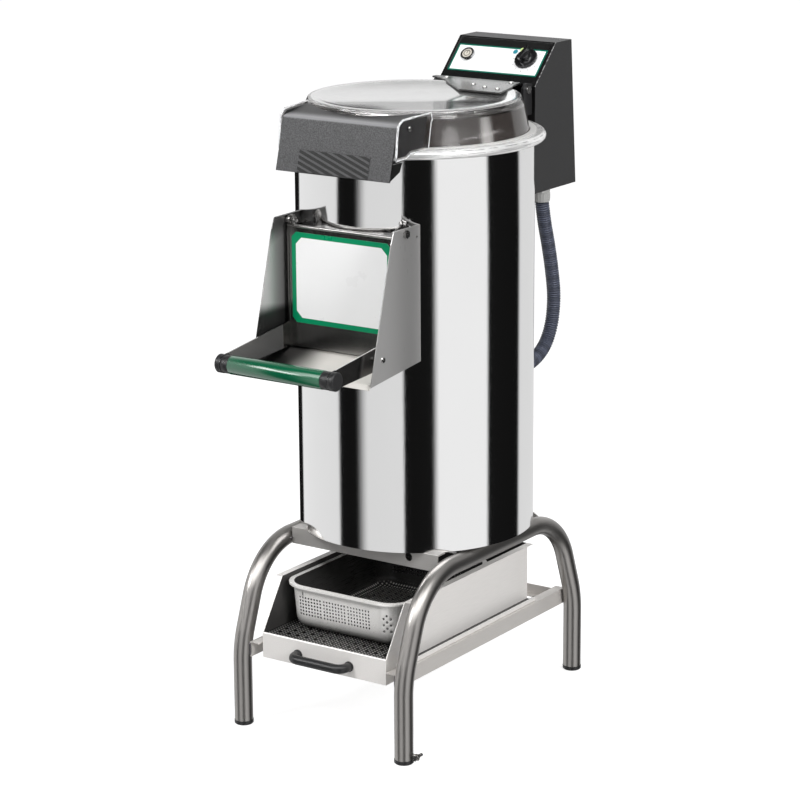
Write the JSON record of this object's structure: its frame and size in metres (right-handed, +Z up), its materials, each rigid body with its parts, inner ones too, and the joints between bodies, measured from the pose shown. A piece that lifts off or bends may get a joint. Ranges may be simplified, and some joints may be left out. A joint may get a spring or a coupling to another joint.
{
  "type": "electric potato peeler",
  "caption": "Free-standing catering peeler: polished drum with lid, discharge door, abrasive disc drive, control box and filter drawer.",
  "frame": {"origin": "on the floor under the middle of the whole machine", "axes": "+Z up, front with the discharge door towards -Y, +X to the right of someone behind the machine looking at its back"},
  "size_m": [0.469, 0.8216, 1.1935],
  "materials": {
    "mirror_steel": "mirror polished stainless steel",
    "stand_steel": "satin stainless tube",
    "sheet_steel": "brushed stainless sheet",
    "bolt_steel": "bright",
    "black_plastic": "satin",
    "black_metal": "painted",
    "dark_paint": "textured powder coat",
    "dark_plastic": "grained moulding",
    "clear_plastic": "clear moulded polycarbonate",
    "green_plastic": "glossy sleeve",
    "white_label": "film label, bare",
    "white_button": "translucent button",
    "bezel_chrome": "bright bezel",
    "light_plastic": "light grey nylon",
    "grey_plastic": "moulded",
    "conduit_plastic": "corrugated",
    "seal_rubber": "matte",
    "brass": "turned",
    "cast_metal": "cast and turned",
    "motor_paint": "painted ribbed casing",
    "abrasive": "grit bonded lining",
    "abrasive_disc": "grit bonded casting"
  },
  "bodies": {
    "machine": {"left_frame_tube": "stand_steel", "right_frame_tube": "stand_steel", "foot_caps": "black_plastic", "front_cross_plate": "sheet_steel", "rear_cross_plate": "sheet_steel", "drawer_rails": "stand_steel", "bonding_lug": "sheet_steel", "bonding_bolt": "bolt_steel", "drum_bolts": "bolt_steel", "base_plate": "sheet_steel", "drum_shell": "mirror_steel", "drum_rim": "mirror_steel", "chamber_floor": "sheet_steel", "abrasive_liner": "abrasive", "waste_pipe": "sheet_steel", "water_inlet": "brass", "chute_neck": "sheet_steel", "chute_cheeks": "sheet_steel", "chute_floor": "sheet_steel", "chute_screws": "bolt_steel", "door_pivots": "bolt_steel", "hinge_ears": "black_plastic", "hinge_pin": "bolt_steel", "box_bracket": "black_metal", "box_shell": "dark_paint", "box_rear_cover": "dark_paint", "box_screws": "bolt_steel", "control_label": "white_label", "button_housing": "bezel_chrome", "timer_body": "black_plastic", "contactor": "grey_plastic", "cable_glands": "light_plastic", "conduit": "conduit_plastic", "bearing_housing": "cast_metal", "shaft_bearings": "bolt_steel", "shaft_seal": "seal_rubber", "motor_plate": "sheet_steel", "motor": "motor_paint", "drive_belt": "seal_rubber"},
    "lid": {"lid_dome": "clear_plastic", "lid_gasket": "seal_rubber", "lid_cover": "dark_plastic", "lid_screws": "bolt_steel", "hinge_leaf": "sheet_steel"},
    "door": {"door_panel": "sheet_steel", "door_label": "white_label", "door_gasket": "seal_rubber", "handle_tube": "bolt_steel", "handle_sleeve": "green_plastic", "handle_caps": "black_plastic"},
    "drawer": {"drawer_box": "sheet_steel", "filter_floor": "sheet_steel", "drawer_handle": "black_plastic", "gn_pan": "sheet_steel"},
    "start_button": {"start_button": "white_button"},
    "timer_knob": {"timer_knob": "black_plastic"},
    "rotor": {"abrasive_disc": "abrasive_disc", "drive_shaft": "bolt_steel", "driven_pulley": "cast_metal"},
    "motor_rotor": {"motor_pulley": "cast_metal"}
  },
  "joints": [
    {"name": "lid_hinge", "type": "hinge", "parent": "machine", "child": "lid", "pos_m": [0, 0.24675, 1.11682], "axis": [-1, 0, 0], "range_deg": [0, 85]},
    {"name": "door_pivot", "type": "hinge", "parent": "machine", "child": "door", "pos_m": [0, -0.19425, 0.92702], "axis": [-1, 0, 0], "range_deg": [0, 70]},
    {"name": "drawer_slide", "type": "slide", "parent": "machine", "child": "drawer", "axis": [0, -1, 0], "range_m": [0, 0.35]},
    {"name": "start_press", "type": "slide", "parent": "machine", "child": "start_button", "axis": [0, 0.7071, -0.7071], "range_m": [0, 0.004], "stiffness_N_per_m": 600},
    {"name": "timer_turn", "type": "hinge", "parent": "machine", "child": "timer_knob", "pos_m": [0.06, 0.30516, 1.16276], "axis": [0, 0.7071, -0.7071], "range_deg": [0, 300]},
    {"name": "disc_spin", "type": "hinge", "parent": "machine", "child": "rotor", "pos_m": [0, 0.02475, 0.6], "axis": [0, 0, 1], "continuous": true},
    {"name": "motor_spin", "type": "hinge", "parent": "machine", "child": "motor_rotor", "pos_m": [0, 0.15475, 0.45], "axis": [0, 0, 1], "continuous": true}
  ],
  "couplings": [
    {"joint": "motor_spin", "follows": "disc_spin", "ratio": 3.6}
  ]
}
